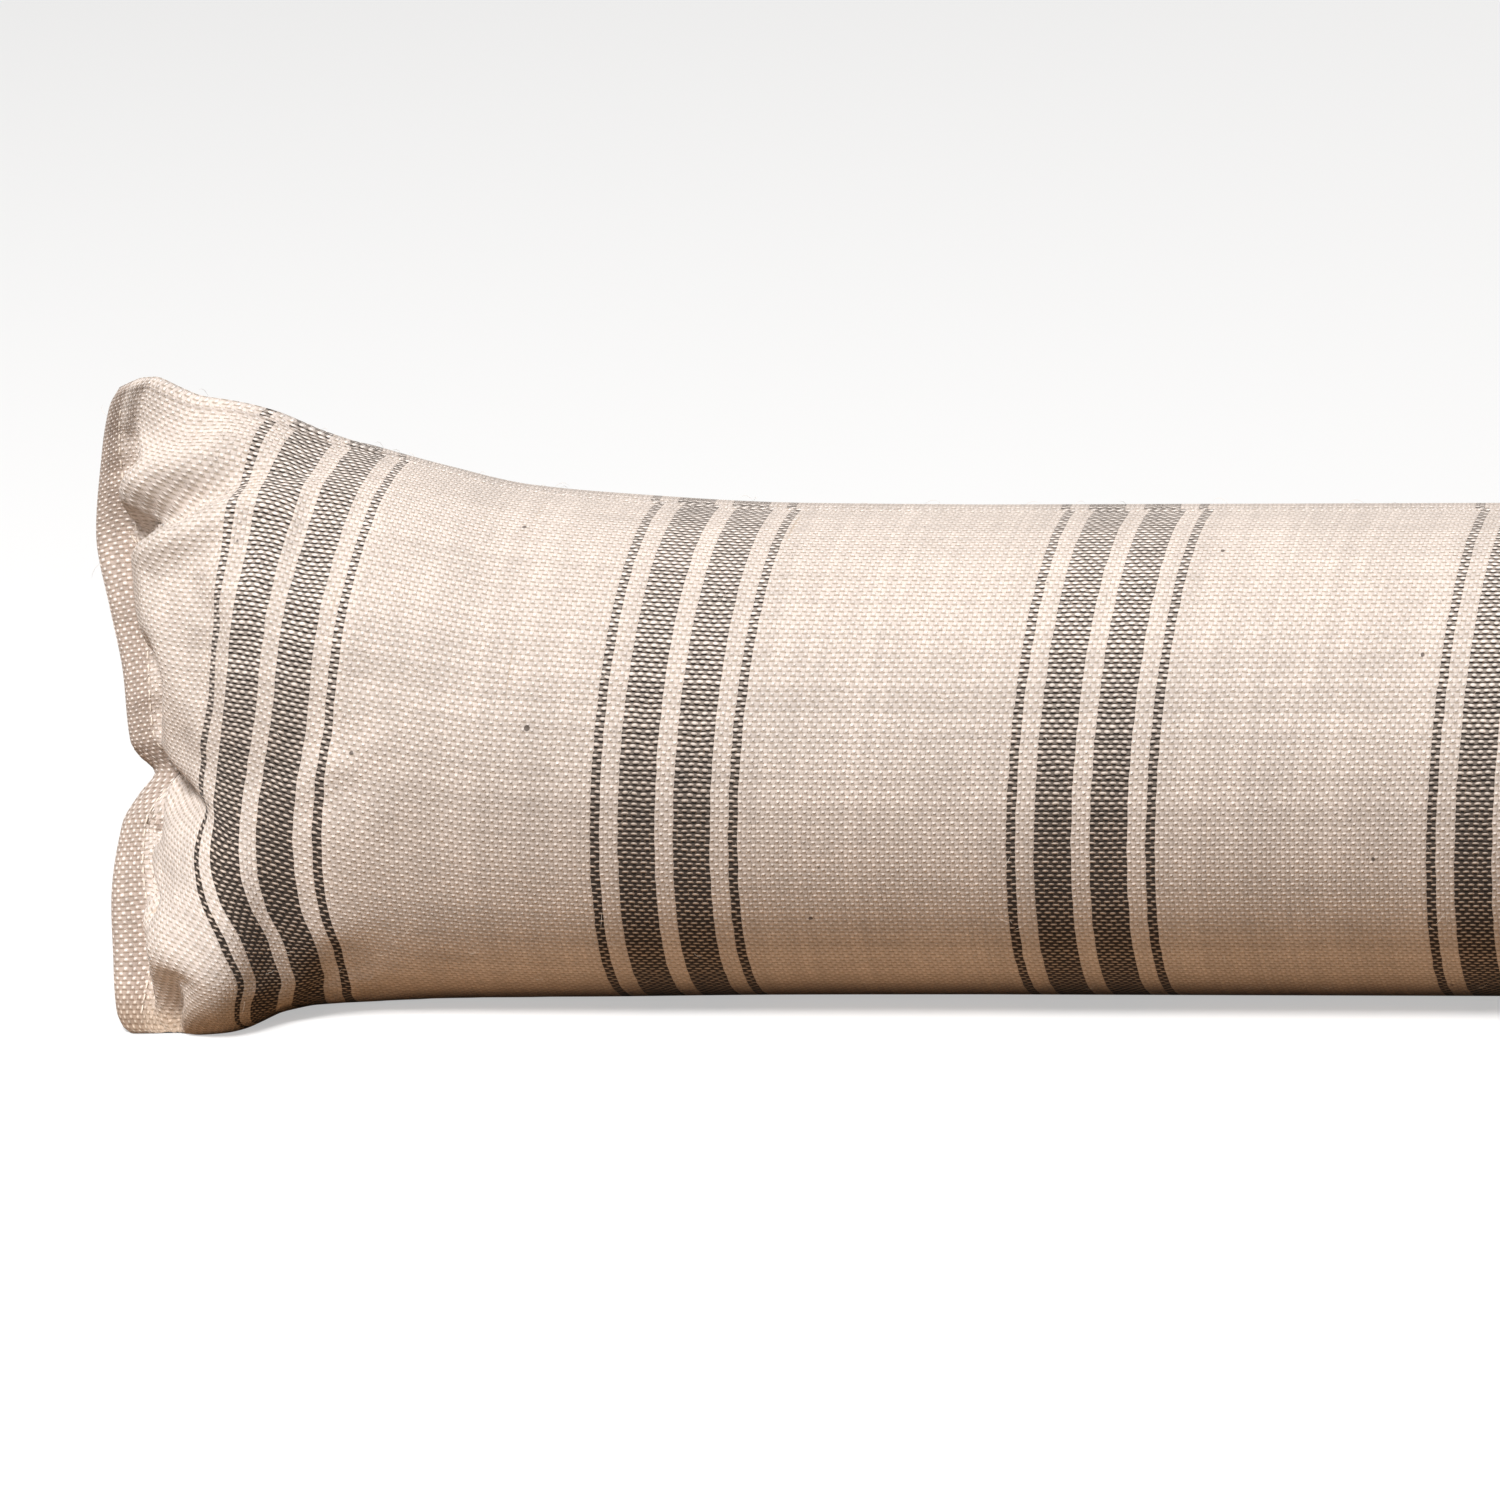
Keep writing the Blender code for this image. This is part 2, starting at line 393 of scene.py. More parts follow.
down = share_of * FLAT_DEPTH
depth = np.zeros(grid.shape[:2])
for folds, from_seam in ((LEFT_FOLDS, rows - HEM_WIDTH), (RIGHT_FOLDS, FLAT_LENGTH - HEM_WIDTH - rows)):
    for fold in folds:
        on_side = side_of == fold.side
        depth[:, on_side] += fold_depth(fold, from_seam[:, None], down[None, on_side])

for bulge in LEFT_BULGES:
    on_side = side_of == bulge.side
    away = (rows[:, None] - HEM_WIDTH - bulge.along) / bulge.long
    below = (down[None, on_side] - bulge.share * FLAT_DEPTH) / bulge.wide
    depth[:, on_side] -= bulge.high * np.exp(-(away**2) - below**2) * (rows > HEM_WIDTH)[:, None]


random.seed(11)
for from_seam in (rows - HEM_WIDTH, FLAT_LENGTH - HEM_WIDTH - rows):
    for side in (-1, 1):
        on_side = side_of == side
        for number in range(STITCH_DRAWS):
            where = (number + random.uniform(0.1, 0.9)) / STITCH_DRAWS * FLAT_DEPTH
            wide, high = random.uniform(2.5, 5.0), random.uniform(0.2, 1.0)
            reach = np.where(from_seam > 0, random.uniform(5.0, 13.0), 5.5)
            away = np.exp(-(((from_seam - 1.5) / reach) ** 2)) * (from_seam > -HEM_WIDTH + 0.5)
            beside = np.exp(-(((down[None, on_side] - where) / wide) ** 2))
            depth[:, on_side] += high * away[:, None] * beside

# At the upper and lower corner of the flange there is no room for dents
TIGHT_SHARE = 0.06
to_seam = np.minimum(rows, FLAT_LENGTH - rows) - HEM_WIDTH
from_corner = np.minimum(1, np.minimum(share_of, 1 - share_of) / TIGHT_SHARE)
free = softstep(to_seam, 4, 18)[:, None]
depth *= free + (1 - free) * from_corner[None, :] ** 2

normal = normals_of(grid)
grid = grid - normal * depth[:, :, None]
print("deepest fold %.1f mm, highest bulge %.1f mm" % (depth.max(), -depth.min()))

# %% [markdown]
# ## The mesh
#
# The grid becomes one closed quad mesh. The first and last row are pinched to a single
# edge, the fold of the hem. Its UV map is the flat cloth itself, in metres, so the weave
# can be drawn in real threads.

# %% The mesh of the cover
def bolster_mesh(points):
    """A quad mesh on the grid, whose UV map holds metres of flat cloth."""
    count, around = points.shape[:2]
    index = np.arange(count * around).reshape(count, around)
    following = np.roll(index, -1, axis=1)
    quads = np.stack([index[:-1], following[:-1], following[1:], index[1:]], -1).reshape(-1, 4)
    mesh = bpy.data.meshes.new("striped_bolster")
    mesh.from_pydata((points.reshape(-1, 3) * MM).tolist(), [], quads.tolist())
    place = mesh.uv_layers.new(name="flat_cloth")
    u = np.repeat(rows[:, None], around + 1, axis=1)
    v = np.repeat(np.arange(around + 1)[None, :] * (2 * FLAT_DEPTH / around), count, axis=0)
    flat = np.stack([u, v], -1) * MM
    corner = np.stack([flat[:-1, :-1], flat[:-1, 1:], flat[1:, 1:], flat[1:, :-1]], 2)
    place.uv.foreach_set("vector", corner.reshape(-1).astype(np.float32))
    mesh.shade_smooth()
    return mesh


def settled(points):
    """The points put where the construction model stands: same left end, same depth, on the floor."""
    low, high = (np.array(corner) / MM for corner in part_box("bolster"))
    shift_x = low[0] - points[..., 0].min()
    shift_y = (low[1] + high[1]) / 2 - (points[..., 1].min() + points[..., 1].max()) / 2
    moved = points + np.array([shift_x, shift_y, 0])
    moved[..., 2] = np.maximum(moved[..., 2], 0)
    return moved


grid = settled(grid)
print("the grid stands on the floor, from %.1f to %.1f mm" % (grid[..., 0].min(), grid[..., 0].max()))

# %% [markdown]
# ## Letting the cloth find its puckers
#
# Next to a seam the cloth is a little longer than the line it is sewn to, so it buckles into
# small puckers. Those are hard to place by hand, so each end is run through a short cloth
# simulation: a coarse copy of the end, held at the flange and at the round tube, is made a
# few per cent longer near the seam and blown up by a gentle pressure from inside.
#
# The slow part of the movement is taken out again, because the size of the end is known.
# What is left, the puckers, is limited to a few millimetres and added to the fine grid.

# %% The simulation of the ends
END_REACH = 140.0  # millimetres of flat cloth that take part at each end
COARSE_ROW = 4.6
SIM_FRAMES = 22
LOOSER = 0.11  # how much longer the cloth is at the seam
LOOSE_REACH = 27.0
MOST_PUCKER = 3.6  # millimetres
SIM_STRIDE = 3  # one column in three takes part
KEEP_ABOVE = 5.0  # grid steps: slower waves than this are taken out
NOTCH_SHARE, NOTCH_WIDE, NOTCH_CALM = 0.69, 0.07, 0.75  # by the notch the cloth is tight and puckers less
FADE_FROM, FADE_TO = END_REACH - 70, END_REACH - 15  # the puckers die away over this stretch


def spread(values, at, new_at, axis):
    """Values known at some places along an axis, on a smooth curve at new places."""
    values = np.moveaxis(values, axis, 0)
    table = {place: tuple(values[i].reshape(-1)) for i, place in enumerate(at)}
    x = np.array(sorted(table))
    y = np.array([table[key] for key in sorted(table)])
    slope = np.gradient(y, x, axis=0)
    i = np.clip(np.searchsorted(x, new_at, "right") - 1, 0, len(x) - 2)
    step = (x[i + 1] - x[i])[:, None]
    t = ((new_at - x[i]) / (x[i + 1] - x[i]))[:, None]
    made = (
        (1 + 2 * t) * (1 - t) ** 2 * y[i]
        + t * (1 - t) ** 2 * step * slope[i]
        + t * t * (3 - 2 * t) * y[i + 1]
        + t * t * (t - 1) * step * slope[i + 1]
    )
    return np.moveaxis(made.reshape(len(new_at), *values.shape[1:]), 0, axis)


def blurred(values, width):
    """Values smoothed over neighbours: along the rows, and round the tube without an end."""
    reach = int(width * 2.5)
    weights = np.exp(-((np.arange(-reach, reach + 1) / width) ** 2))
    weights /= weights.sum()
    padded = np.pad(values, ((reach, reach), (0, 0), (0, 0)), mode="edge")
    along = sum(weight * padded[k : k + len(values)] for k, weight in enumerate(weights))
    return sum(weight * np.roll(along, k - reach, axis=1) for k, weight in enumerate(weights))


def simulated(points, from_hem):
    """The coarse grid of one end after the cloth simulation, in millimetres."""
    count, around = points.shape[:2]
    index = np.arange(count * around).reshape(count, around)
    following = np.roll(index, -1, axis=1)
    quads = np.stack([index[:-1], following[:-1], following[1:], index[1:]], -1).reshape(-1, 4)
    mesh = bpy.data.meshes.new("end_cloth")
    mesh.from_pydata((points.reshape(-1, 3) * MM).tolist(), [], quads.tolist())
    mesh.update()
    end = bpy.data.objects.new("end_cloth", mesh)
    bpy.context.scene.collection.objects.link(end)
    held = end.vertex_groups.new(name="held")
    firm = end.vertex_groups.new(name="firm")
    for row, place in enumerate(from_hem):
        members = index[row].tolist()
        if place <= HEM_WIDTH + 0.1 or place > END_REACH - 12:
            held.add(members, 1.0, "REPLACE")
        firm.add(members, float(1 - np.exp(-((max(place - HEM_WIDTH, 0) / LOOSE_REACH) ** 2))), "REPLACE")
    modifier = end.modifiers.new("cloth", "CLOTH")
    s = modifier.settings
    s.quality = 5
    s.mass = 0.3 * (COARSE_ROW * MM) ** 2 * 1000
    s.tension_stiffness = s.compression_stiffness = 60
    s.shear_stiffness = 30
    s.bending_stiffness = 1.0
    s.tension_damping = s.compression_damping = s.shear_damping = 10
    s.bending_damping = 1
    s.air_damping = 4
    s.use_pressure = True
    s.uniform_pressure_force = 4
    s.vertex_group_mass = "held"
    s.pin_stiffness = 5
    s.vertex_group_shrink = "firm"
    s.shrink_min = -LOOSER
    s.shrink_max = 0.0
    s.effector_weights.gravity = 0
    modifier.collision_settings.use_collision = False
    modifier.point_cache.frame_start = 1
    modifier.point_cache.frame_end = SIM_FRAMES
    for number in range(1, SIM_FRAMES + 1):
        bpy.context.scene.frame_set(number)
    result = end.evaluated_get(bpy.context.evaluated_depsgraph_get())
    after = np.empty(count * around * 3)
    result.data.vertices.foreach_get("co", after)
    bpy.data.objects.remove(end)
    bpy.data.meshes.remove(mesh)
    bpy.context.scene.frame_set(1)
    return after.reshape(count, around, 3) / MM


def puckers(points, from_hem):
    """How far each point of one end moves; rows are counted from its hem."""
    inside = from_hem <= END_REACH
    coarse_rows = np.concatenate([[0, 3.6, 7.2], np.arange(HEM_WIDTH, END_REACH, COARSE_ROW)])
    coarse = spread(points[inside][:, ::SIM_STRIDE], from_hem[inside], coarse_rows, 0)
    moved = simulated(coarse, coarse_rows) - coarse
    quick_part = moved - blurred(moved, KEEP_ABOVE)
    closed = np.concatenate([quick_part[:, -2:], quick_part, quick_part[:, :3]], axis=1)
    places = np.arange(-2.0 * SIM_STRIDE, ROUND_STEPS + 3 * SIM_STRIDE, SIM_STRIDE)
    fine = spread(closed, places, np.arange(float(ROUND_STEPS)), 1)
    fine = spread(fine, coarse_rows, from_hem[inside], 0)
    size = np.linalg.norm(fine, axis=2, keepdims=True)
    fine *= MOST_PUCKER * np.tanh(size / MOST_PUCKER) / np.maximum(size, 1e-6)
    fade = 1 - softstep(from_hem[inside], FADE_FROM, FADE_TO)
    at_folds = np.minimum(1, 0.25 + 1.6 * np.sin(np.pi * share_of))
    by_notch = np.exp(-(((share_of - NOTCH_SHARE) / NOTCH_WIDE) ** 2)) * (side_of == -1)
    at_folds *= 1 - NOTCH_CALM * by_notch
    whole = np.zeros_like(points)
    whole[inside] = fine * fade[:, None, None] * at_folds[None, :, None]
    return whole


left_move = puckers(grid, rows)
right_move = puckers(grid[::-1, ::-1], FLAT_LENGTH - rows[::-1])[::-1, ::-1]
print("puckers: up to %.1f and %.1f mm" % (abs(left_move).max(), abs(right_move).max()))
grid = grid + left_move + right_move
grid[..., 2] = np.maximum(grid[..., 2], 0)

# %% Building the bolster
bolster = bpy.data.objects.new("striped_bolster", bolster_mesh(grid))
bpy.context.scene.collection.objects.link(bolster)
print("bolster: %d faces" % len(bolster.data.polygons))
print("box in mm", grid.reshape(-1, 3).min(0).round(1), grid.reshape(-1, 3).max(0).round(1))

# %% [markdown]
# ## A short way to write node trees
#
# The weave is drawn with arithmetic on the cloth coordinates. These few helpers keep that
# readable: a Tree adds nodes and joins them, and a number or an output may be given for
# any input.

# %% Node helpers
class Tree:
    """A node tree with short calls for the nodes that a cloth needs."""

    def __init__(self, tree):
        self.tree = tree

    def node(self, kind, inputs=None, **settings):
        node = self.tree.nodes.new(kind)
        for name, value in settings.items():
            setattr(node, name, value)
        for key, value in (inputs or {}).items():
            self.put(node.inputs[key], value)
        return node

    def put(self, socket, value):
        if isinstance(value, bpy.types.NodeSocket):
            self.tree.links.new(value, socket)
        elif isinstance(value, tuple) and len(value) == 3 and socket.type == "RGBA":
            socket.default_value = (*value, 1.0)
        else:
            socket.default_value = value

    def math(self, operation, *values):
        return self.node("ShaderNodeMath", dict(enumerate(values)), operation=operation).outputs[0]

    def add(self, *values):
        total = values[0]
        for value in values[1:]:
            total = self.math("ADD", total, value)
        return total

    def less(self, a, b):
        return self.math("SUBTRACT", a, b)

    def times(self, *values):
        total = values[0]
        for value in values[1:]:
            total = self.math("MULTIPLY", total, value)
        return total

    def ramp(self, value, low, high, to_low=0.0, to_high=1.0):
        """A soft step from to_low at low to to_high at high."""
        keys = {"Value": value, "From Min": low, "From Max": high, "To Min": to_low, "To Max": to_high}
        node = self.node("ShaderNodeMapRange", keys, interpolation_type="SMOOTHSTEP")
        return node.outputs["Result"]

    def mix(self, share, a, b):
        """One colour turning into another."""
        node = self.node("ShaderNodeMix", data_type="RGBA")
        for name, value in (("Factor_Float", share), ("A_Color", a), ("B_Color", b)):
            self.put(next(s for s in node.inputs if s.identifier == name), value)
        return next(s for s in node.outputs if s.identifier == "Result_Color")

    def by(self, vector, factors):
        """A vector or colour times another, part by part."""
        keys = {0: vector, 1: factors}
        return self.node("ShaderNodeVectorMath", keys, operation="MULTIPLY").outputs[0]

    def parts(self, vector):
        return self.node("ShaderNodeSeparateXYZ", {0: vector}).outputs

    def joined(self, x, y):
        return self.node("ShaderNodeCombineXYZ", {"X": x, "Y": y}).outputs[0]

    def noise(self, vector, scale, detail):
        keys = {"Vector": vector, "Scale": scale, "Detail": detail}
        return self.node("ShaderNodeTexNoise", keys).outputs["Fac"]

    def chance(self, dimensions, **inputs):
        """A random number for each whole value."""
        return self.node("ShaderNodeTexWhiteNoise", inputs, noise_dimensions=dimensions).outputs["Value"]

    def group(self, group, inputs):
        """A node of our own group; its sockets exist only once the group is set."""
        node = self.node("ShaderNodeGroup", node_tree=group)
        for name, value in inputs.items():
            self.put(node.inputs[name], value)
        return node.outputs


def new_group(name, inputs, outputs):
    """An empty node group with named sockets, and its Tree and ends."""
    group = bpy.data.node_groups.new(name, "ShaderNodeTree")
    for socket, kind, value in inputs:
        made = group.interface.new_socket(name=socket, in_out="INPUT", socket_type="NodeSocket" + kind)
        if value is not None:
            made.default_value = value
    for socket, kind in outputs:
        group.interface.new_socket(name=socket, in_out="OUTPUT", socket_type="NodeSocket" + kind)
    tree = Tree(group)
    return group, tree, tree.node("NodeGroupInput").outputs, tree.node("NodeGroupOutput").inputs


# %% [markdown]
# ## Wavering threads
#
# No thread of a stout cloth runs quite straight. Before anything is drawn, the place on the
# cloth is counted in threads and then bent a little by slow noise, so the stripes and the
# weave waver together.
#
# The tube is two panels, front and back. At the long seams between them the stripes miss
# each other by a thread or two, so the back panel is counted with a small shift. The upper
# seam lies on the front at the left end and wanders to the back further on.

# %% The wavering group
SEAM_TURNS = 65 * MM, 110 * MM  # along the cloth: where the upper seam leaves the front
SEAM_FROM_TO = 3.5 * MM, -4 * MM  # below the top fold at first, behind it further on
SEAM_HALF = 0.1 * MM, 0.8 * MM  # from the seam to where its shade is full, and to where it is gone
WAVER_ACROSS, WAVER_DOWN = 0.21, 0.27  # waves to a thread
ELSEWHERE = 311.0, 73.0  # threads away, so that the two waves differ

waver_group, w, given, wanted = new_group(
    "wavering_threads",
    [("Flat cloth", "Vector", None), ("Round pitch", "Float", 1.0), ("Long pitch", "Float", 1.0),
     ("Waver", "Float", 0.5), ("Panel depth", "Float", 0.2), ("Back shift", "Float", 1.6)],
    [("Across", "Float"), ("Down", "Float"), ("Threads", "Vector"), ("Seam", "Float")],
)
place = w.parts(given["Flat cloth"])
seam_place = w.ramp(place["X"], *SEAM_TURNS, *SEAM_FROM_TO)
from_seam = w.less(place["Y"], seam_place)
below_seam = w.math("GREATER_THAN", from_seam, 0.0)
front = w.times(below_seam, w.math("LESS_THAN", place["Y"], given["Panel depth"]))
back_shift = w.times(w.less(1.0, front), given["Back shift"])
round_the_back = w.less(from_seam, w.times(given["Panel depth"], 2.0))
seam_near = w.math("MINIMUM", w.math("ABSOLUTE", from_seam), w.math("ABSOLUTE", round_the_back))
w.put(wanted["Seam"], w.ramp(seam_near, *SEAM_HALF, 1.0, 0.0))
count_x = w.math("DIVIDE", place["X"], given["Round pitch"])
count_y = w.math("DIVIDE", place["Y"], given["Long pitch"])
straight = w.joined(count_x, count_y)
elsewhere = w.joined(w.add(count_x, ELSEWHERE[0]), w.add(count_y, ELSEWHERE[1]))
sideways = w.times(w.less(w.noise(straight, WAVER_ACROSS, 1.0), 0.5), given["Waver"])
up_and_down = w.times(w.less(w.noise(elsewhere, WAVER_DOWN, 1.0), 0.5), given["Waver"])
w.put(wanted["Across"], w.add(count_x, back_shift, sideways))
w.put(wanted["Down"], w.add(count_y, up_and_down))
w.put(wanted["Threads"], straight)
print("wavering_threads:", len(waver_group.nodes), "nodes")

# %% [markdown]
# ## The stripes
#
# The charcoal threads run round the tube in groups: two broad bands of eight threads
# between two fine lines of two. A group is mirrored about its middle, so it is enough to
# know how far a thread is from the middle of the nearest group.

# %% The stripe group
GROUP_REPEAT = 90.0  # threads from one group to the next
FIRST_GROUP = 61.0  # threads from the left hem edge to the middle of the first group
BAND_FROM, BAND_TO = 2.0, 10.0  # threads from the middle of a group
LINE_FROM, LINE_TO = 14.0, 16.0


def within(tree, value, low, high):
    """1 where a value lies between two others."""
    return tree.times(tree.math("GREATER_THAN", value, low), tree.math("LESS_THAN", value, high))


stripe_group, s, given, wanted = new_group("thread_stripes", [("Across", "Float", 0.0)], [("Dark", "Float")])
thread_middle = s.add(s.math("FLOOR", given["Across"]), 0.5)
shifted = s.add(thread_middle, GROUP_REPEAT / 2 - FIRST_GROUP)
in_repeat = s.math("FLOORED_MODULO", shifted, GROUP_REPEAT)
from_group = s.math("ABSOLUTE", s.less(in_repeat, GROUP_REPEAT / 2))
band = within(s, from_group, BAND_FROM, BAND_TO)
line = within(s, from_group, LINE_FROM, LINE_TO)
s.put(wanted["Dark"], s.add(band, line))
print("thread_stripes:", len(stripe_group.nodes), "nodes")

# %% [markdown]
# ## The plain weave
#
# In a plain weave every thread passes over one and under the next. Seen from above that is
# a chequerboard: on the white squares the long thread lies on top, on the black ones the
# round thread does. Each long thread shows as a row of flat oval floats, and the round
# threads swell between them.
#
# The group puts out masks and a height: where a float is, how near its crown (where a
# painted highlight goes), where the crown of a round thread is (also for a painted highlight),
# the slot under the edge of each float (where painted shadow goes), the pinhole where four
# threads meet, the streaks of the fibres along each thread, and a random number for each
# thread and each float. All lengths in it are counted in threads.

# %% The weave group
FLOAT_EDGE = 0.75, 1.1  # shares of a float's ellipse over which it ends
CROWN_TO = 0.9  # share of a float's ellipse where its crown and painted highlight end
ROUND_SWELL = 0.56, 0.78  # half the width and length of a round thread's swelling
SLOT_HALF = 0.72, 0.29  # half the length and width of the slot
SLOT_EDGE = 0.45, 1.05
PINHOLE_X, PINHOLE_Y = (0.30, 0.5), (0.22, 0.5)
VARIES = 0.88, 0.24  # a float is between 0.88 and 1.12 times its size
FIBRE_WAVES = 1.4, 9.0  # along and across a thread
WEAVE_OUT = ("Float", "Crown highlight", "Round crown highlight", "Slot shadow", "Pinhole", "Height",
             "Long thread", "Round thread", "Each float", "Streaks")

weave_group, w, given, wanted = new_group(
    "plain_weave",
    [("Across", "Float", 0.0), ("Down", "Float", 0.0),
     ("Float length", "Float", 0.6), ("Float width", "Float", 0.3)],
    [(name, "Float") for name in WEAVE_OUT],
)
round_index = w.math("FLOOR", given["Across"])
long_index = w.math("FLOOR", given["Down"])
in_x = w.less(w.math("FRACT", given["Across"]), 0.5)
in_y = w.less(w.math("FRACT", given["Down"]), 0.5)
odd = w.math("FLOORED_MODULO", w.add(round_index, long_index), 2.0)
round_random = w.chance("1D", W=round_index)
long_random = w.chance("1D", W=w.add(long_index, 0.37))

# A float reaches into the squares on both sides, so an odd square measures from the nearer neighbour
neighbour = w.times(odd, w.math("SIGN", in_x))
from_float = w.less(in_x, neighbour)
each = w.chance("2D", Vector=w.joined(w.add(round_index, neighbour), long_index))
half_long = w.times(given["Float length"], w.add(VARIES[0], w.times(each, VARIES[1])))
half_wide = w.times(given["Float width"], w.add(VARIES[0], w.times(long_random, VARIES[1])))


def ellipse(tree, x, y, half_x, half_y):
    """0 in the middle of an ellipse and 1 on its rim."""
    squares = (tree.math("POWER", tree.math("DIVIDE", a, b), 2.0) for a, b in ((x, half_x), (y, half_y)))
    return tree.math("SQRT", tree.add(*squares))


def dome(tree, rim):
    """A round hill inside an ellipse."""
    return tree.math("SQRT", tree.math("MAXIMUM", tree.less(1.0, tree.times(rim, rim)), 0.0))


rim = ellipse(w, from_float, in_y, half_long, half_wide)
float_mask = w.ramp(rim, *FLOAT_EDGE, 1.0, 0.0)
swell = w.times(odd, dome(w, ellipse(w, in_x, in_y, *ROUND_SWELL)))

# The slot lies along the seam between two long threads, beneath each float of the upper one; it takes
# painted shadow
seam = w.math("FLOOR", w.add(given["Down"], 0.5))
beside = w.math("FLOORED_MODULO", w.add(round_index, seam, 1.0), 2.0)
from_slot = w.less(in_x, w.times(beside, w.math("SIGN", in_x)))
slot_rim = ellipse(w, from_slot, w.less(given["Down"], seam), *SLOT_HALF)
beside_float = w.less(1.0, float_mask)
slot = w.times(w.ramp(slot_rim, *SLOT_EDGE, 1.0, 0.0), beside_float)
far_x = w.ramp(w.math("ABSOLUTE", in_x), *PINHOLE_X)
far_y = w.ramp(w.math("ABSOLUTE", in_y), *PINHOLE_Y)
pinhole = w.times(far_x, far_y, beside_float, w.math("POWER", each, 2.0))

# The fibres lie along the thread that is on top
on_cloth = w.joined(given["Across"], given["Down"])
along_long = w.noise(w.by(on_cloth, (*FIBRE_WAVES, 0.0)), 1.0, 2.0)
along_round = w.noise(w.by(on_cloth, (*FIBRE_WAVES[::-1], 0.0)), 1.0, 2.0)
streaks = w.add(w.times(float_mask, along_long), w.times(beside_float, along_round))
fluff = w.times(w.less(streaks, 0.5), 0.5)
hill = w.math("MAXIMUM", w.ramp(rim, 0.15, 1.1, 1.0, 0.0), w.times(swell, 0.6))
for name, value in zip(WEAVE_OUT, (
    float_mask, w.ramp(rim, 0.0, CROWN_TO, 1.0, 0.0), swell, slot, pinhole, w.add(hill, fluff),
    long_random, round_random, each, streaks,
)):
    w.put(wanted[name], value)
print("plain_weave:", len(weave_group.nodes), "nodes")

# %% [markdown]
# ## The cloth itself
#
# The base colours are the fibres' own: undyed cotton for the proud floats, a duller linen mix
# for the threads between, charcoal for the stripes. A float goes from linen at its rim to cotton
# at its crown, a painted highlight. Between cream threads a float is squeezed into a round dot,
# and across the charcoal ones it lies longer and flatter. Charcoal thread gets a painted
# highlight on its crown, and the slots under the floats hold painted shadow, black in the
# stripes. Light from above is painted in by height: high on the tube the charcoal crowns are
# painted a lit grey brown and the floats across them lie wide and unshaded; low on the tube
# painted shade keeps the stripes nearly black and darkens their floats.
#
# Each thread differs a little from the next, now and then one is a brown slub, and a few
# dark seed flecks are caught in the yarn. A bump from the weave's height gives the light
# something to catch.

# %% The striped cloth
COTTON = (0.95, 0.88, 0.825)
LINEN = (0.67, 0.58, 0.52)
# painted shadow in the slots of the cream ground
LINEN_SLOT_SHADOW = (0.43, 0.35, 0.28)
CHARCOAL = (0.036, 0.027, 0.022)
# painted highlight on the crown of a charcoal thread, low on the tube
CHARCOAL_CROWN_HIGHLIGHT = (0.045, 0.033, 0.026)
# painted light: the crown of a charcoal thread high on the tube, lit to a grey brown
CHARCOAL_TOP_LIGHT = (0.36, 0.305, 0.265)
# painted shadow in the slots of the stripes, near black
CHARCOAL_SLOT_SHADOW = (0.010, 0.007, 0.005)
PINHOLE_SHADE = (0.20, 0.13, 0.08)
SLUB = (0.50, 0.37, 0.25)
FLECK = (0.07, 0.05, 0.04)
SEAM_SHADE = (0.16, 0.11, 0.08)
FLANGE_TINT = (0.66, 0.61, 0.58)  # a darker tint between the floats of the flange
FLANGE_TINT_TO = 9 * MM, 13 * MM  # from the hem edge
FLOOR_SHADE = (0.66, 0.58, 0.49)  # painted shade close to the floor, darker and browner
FLOOR_SHADE_OVER = 0.5 * MM, 15 * MM
TOP_LIGHT_FROM, TOP_LIGHT_TO = 22 * MM, 122 * MM  # height over which the stripes go from painted shade to painted light from above
SHADED_FLOAT_TINT = (0.62, 0.57, 0.52)  # painted shade on the floats across the charcoal, low on the tube
PLAIN_FLOAT, STRIPE_FLOAT = (0.46, 0.36), (0.74, 0.30)  # half the length and width of a float, in threads
NARROWER, WIDER = 0.05, 0.11  # a float across charcoal is narrower low on the tube and wider high up, part of the painted light from above

cloth = bpy.data.materials.new("striped_cloth")
cloth.use_nodes = True
c = Tree(cloth.node_tree)
shader = cloth.node_tree.nodes["Principled BSDF"]
flat_place = c.node("ShaderNodeUVMap", uv_map="flat_cloth").outputs[0]
across, down_cloth, in_threads, panel_seam = c.group(waver_group, {
    "Flat cloth": flat_place,
    "Round pitch": ROUND_PITCH * MM,
    "Long pitch": LONG_PITCH * MM,
    "Waver": 0.6,
    "Panel depth": FLAT_DEPTH * MM,
})
dark = c.group(stripe_group, {"Across": across})["Dark"]
height_above = c.parts(c.node("ShaderNodeNewGeometry").outputs["Position"])["Z"]
# Painted light from above, by height: 0 low on the tube, 1 high up
painted_top_light = c.ramp(height_above, TOP_LIGHT_FROM, TOP_LIGHT_TO)
float_long, float_wide = (
    c.add(plain, c.times(dark, stripe - plain)) for plain, stripe in zip(PLAIN_FLOAT, STRIPE_FLOAT)
)
# Floats across the charcoal grow wider with height, part of the painted light from above
spread_out = c.less(c.times(painted_top_light, WIDER), NARROWER)
weave = c.group(weave_group, {
    "Across": across,
    "Down": down_cloth,
    "Float length": float_long,
    "Float width": c.add(float_wide, c.times(dark, spread_out)),
})

slub = c.ramp(c.noise(c.by(in_threads, (1.0, 0.05, 1.0)), 0.55, 1.0), 0.70, 0.82)
tone = c.ramp(c.noise(in_threads, 0.045, 3.0), 0.3, 0.7, 0.95, 1.04)
fleck = c.ramp(c.noise(in_threads, 0.42, 0.0), 0.865, 0.90)

plain_round = c.mix(c.times(slub, 0.6), LINEN, SLUB)
